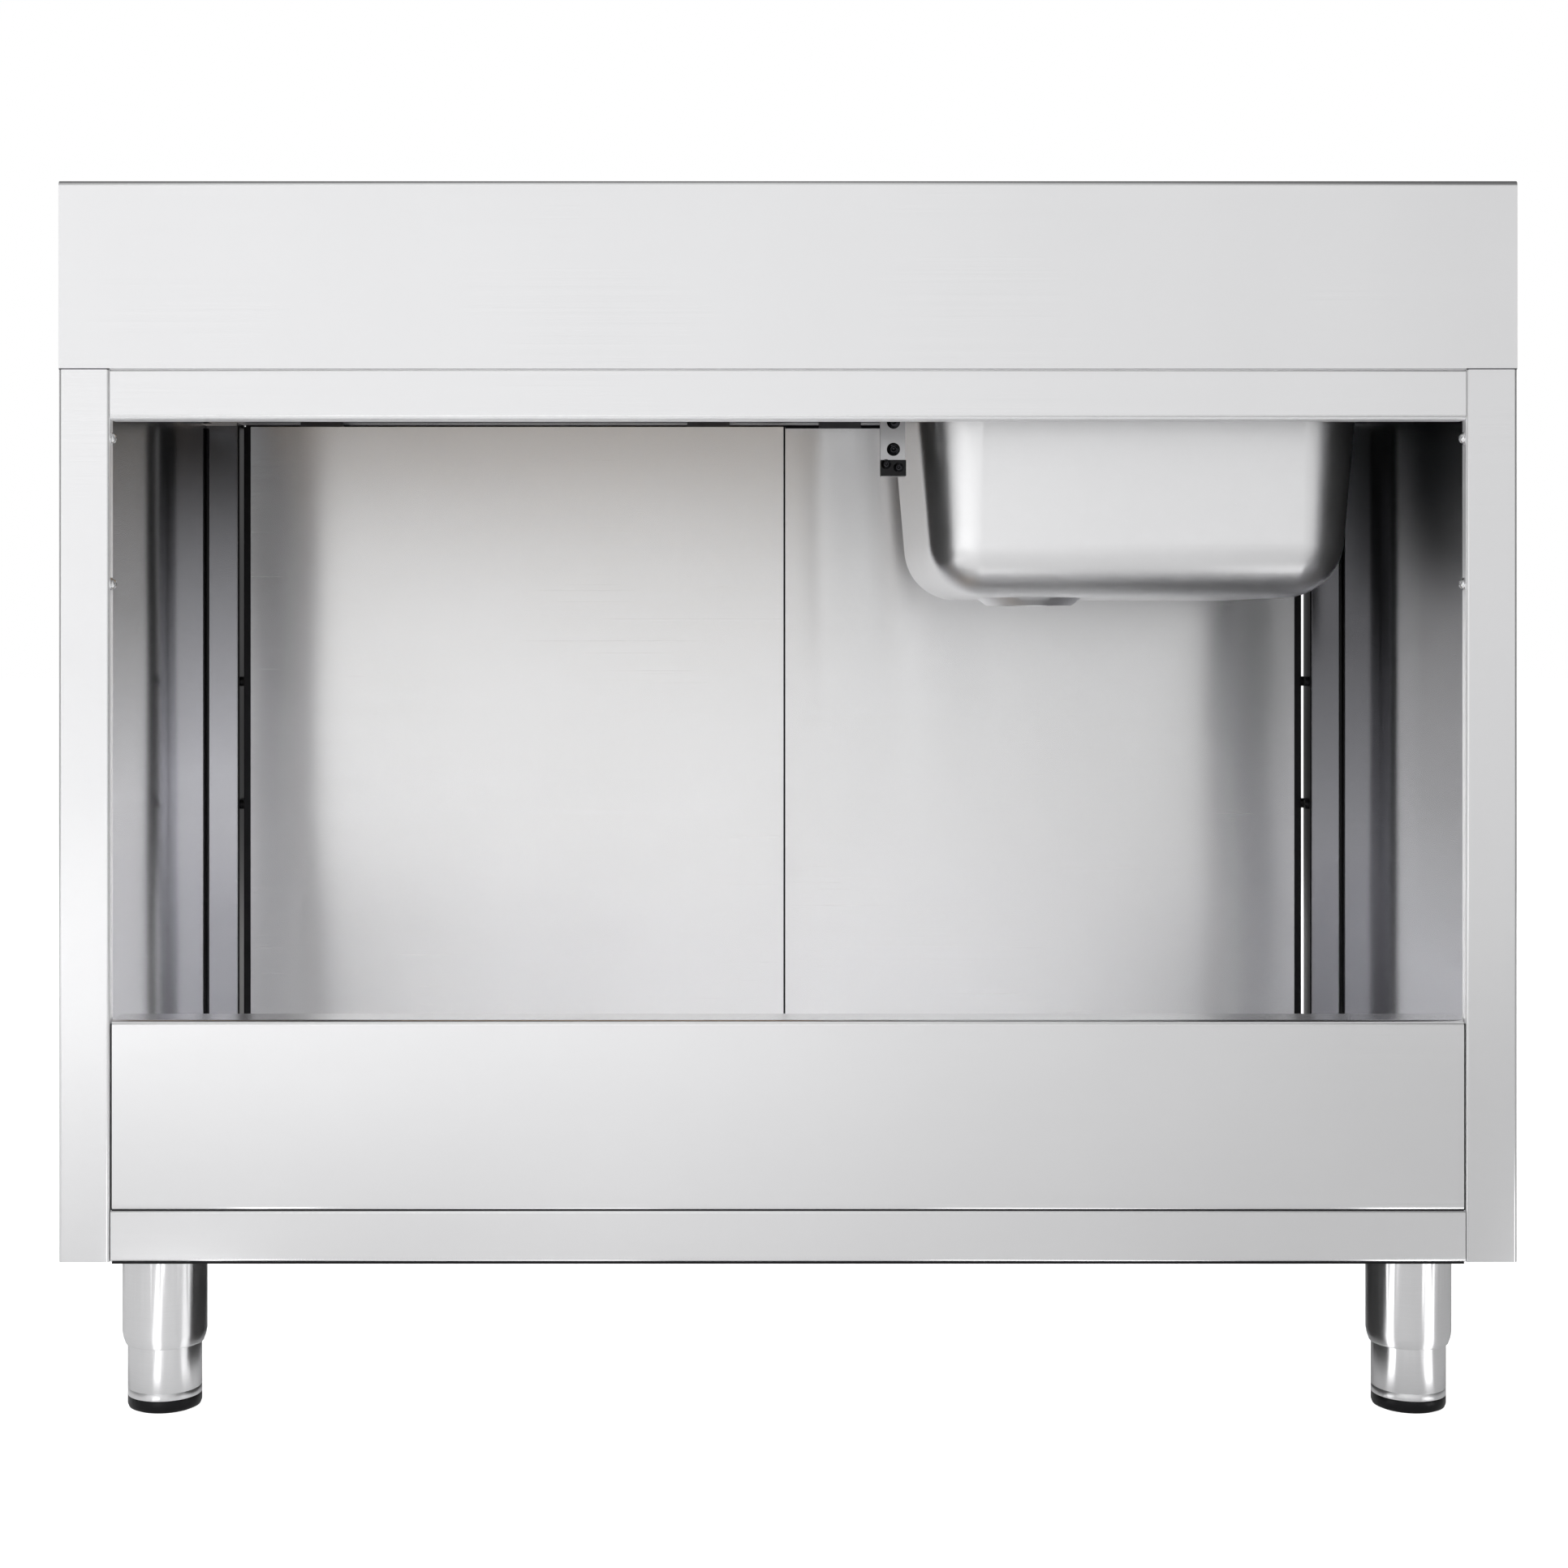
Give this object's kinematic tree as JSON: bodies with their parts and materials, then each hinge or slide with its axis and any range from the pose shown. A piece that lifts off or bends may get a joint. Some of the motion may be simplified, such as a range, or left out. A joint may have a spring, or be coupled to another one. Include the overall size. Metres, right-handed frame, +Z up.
{
  "type": "kitchen sink unit",
  "caption": "Stainless-steel sink unit: a worktop with upstand, welded bowl and fluted drainer on an open-backed cabinet with sliding doors and adjustable legs.",
  "frame": {"origin": "bottom centre, on the floor", "axes": "+X to the right as seen from the doors, +Y towards the open back and the wall, +Z up"},
  "size_m": [1.2, 0.6, 1.02],
  "materials": {
    "top_steel": "brushed, long grain along the top",
    "cabinet_steel": "brushed",
    "door_steel": "brushed",
    "leg_steel": "turned and brushed",
    "zinc_steel": "zinc plated",
    "track_aluminium": "mill",
    "board": "pressed board",
    "door_core": "light core board",
    "rubber": "matte black",
    "nylon": "natural nylon"
  },
  "bodies": {
    "cabinet": {"worktop": "top_steel", "bowl": "top_steel", "deck_board": "board", "deck_stiffener": "cabinet_steel", "bowl_bracket": "cabinet_steel", "side_panel_left": "cabinet_steel", "side_panel_right": "cabinet_steel", "rear_top_rail": "cabinet_steel", "rear_bottom_panel": "cabinet_steel", "base_shelf": "cabinet_steel", "shelf_stiffener": "cabinet_steel", "leg_channel_left": "cabinet_steel", "leg_channel_right": "cabinet_steel", "leg_sleeve_1": "leg_steel", "leg_sleeve_2": "leg_steel", "leg_sleeve_3": "leg_steel", "leg_sleeve_4": "leg_steel", "front_beam": "cabinet_steel", "top_track": "track_aluminium", "bottom_track": "track_aluminium", "door_buffers_left": "rubber", "door_buffers_right": "rubber"},
    "foot_1": {"foot_tube_1": "leg_steel", "foot_pad_1": "rubber", "foot_stem_1": "zinc_steel"},
    "foot_2": {"foot_tube_2": "leg_steel", "foot_pad_2": "rubber", "foot_stem_2": "zinc_steel"},
    "foot_3": {"foot_tube_3": "leg_steel", "foot_pad_3": "rubber", "foot_stem_3": "zinc_steel"},
    "foot_4": {"foot_tube_4": "leg_steel", "foot_pad_4": "rubber", "foot_stem_4": "zinc_steel"},
    "door_left": {"door_left_skin": "door_steel", "door_left_liner": "door_steel", "door_left_core": "door_core", "door_left_pull": "door_steel", "door_left_strip": "rubber", "door_left_guides": "nylon", "door_left_hanger_1": "zinc_steel", "door_left_hanger_2": "zinc_steel"},
    "rollers_left_1": {"door_left_rollers_1": "nylon"},
    "rollers_left_2": {"door_left_rollers_2": "nylon"},
    "door_right": {"door_right_skin": "door_steel", "door_right_liner": "door_steel", "door_right_core": "door_core", "door_right_pull": "door_steel", "door_right_strip": "rubber", "door_right_guides": "nylon", "door_right_hanger_1": "zinc_steel", "door_right_hanger_2": "zinc_steel"},
    "rollers_right_1": {"door_right_rollers_1": "nylon"},
    "rollers_right_2": {"door_right_rollers_2": "nylon"}
  },
  "joints": [
    {"name": "foot_1_height", "type": "slide", "parent": "cabinet", "child": "foot_1", "axis": [0, 0, 1], "range_m": [-0.022, 0.02]},
    {"name": "foot_2_height", "type": "slide", "parent": "cabinet", "child": "foot_2", "axis": [0, 0, 1], "range_m": [-0.022, 0.02]},
    {"name": "foot_3_height", "type": "slide", "parent": "cabinet", "child": "foot_3", "axis": [0, 0, 1], "range_m": [-0.022, 0.02]},
    {"name": "foot_4_height", "type": "slide", "parent": "cabinet", "child": "foot_4", "axis": [0, 0, 1], "range_m": [-0.022, 0.02]},
    {"name": "door_left_slide", "type": "slide", "parent": "cabinet", "child": "door_left", "axis": [1, 0, 0], "range_m": [0, 0.541]},
    {"name": "door_right_slide", "type": "slide", "parent": "cabinet", "child": "door_right", "axis": [1, 0, 0], "range_m": [-0.541, 0]},
    {"name": "rollers_left_1_spin", "type": "hinge", "parent": "door_left", "child": "rollers_left_1", "pos_m": [-0.069, -0.289, 0.8798], "axis": [0, 1, 0], "continuous": true},
    {"name": "rollers_left_2_spin", "type": "hinge", "parent": "door_left", "child": "rollers_left_2", "pos_m": [-0.472, -0.289, 0.8798], "axis": [0, 1, 0], "continuous": true},
    {"name": "rollers_right_1_spin", "type": "hinge", "parent": "door_right", "child": "rollers_right_1", "pos_m": [0.069, -0.268, 0.8798], "axis": [0, 1, 0], "continuous": true},
    {"name": "rollers_right_2_spin", "type": "hinge", "parent": "door_right", "child": "rollers_right_2", "pos_m": [0.472, -0.268, 0.8798], "axis": [0, 1, 0], "continuous": true}
  ],
  "couplings": [
    {"joint": "rollers_left_1_spin", "follows": "door_left_slide", "rad_per_m": 100},
    {"joint": "rollers_left_2_spin", "follows": "door_left_slide", "rad_per_m": 100},
    {"joint": "rollers_right_1_spin", "follows": "door_right_slide", "rad_per_m": 100},
    {"joint": "rollers_right_2_spin", "follows": "door_right_slide", "rad_per_m": 100}
  ]
}
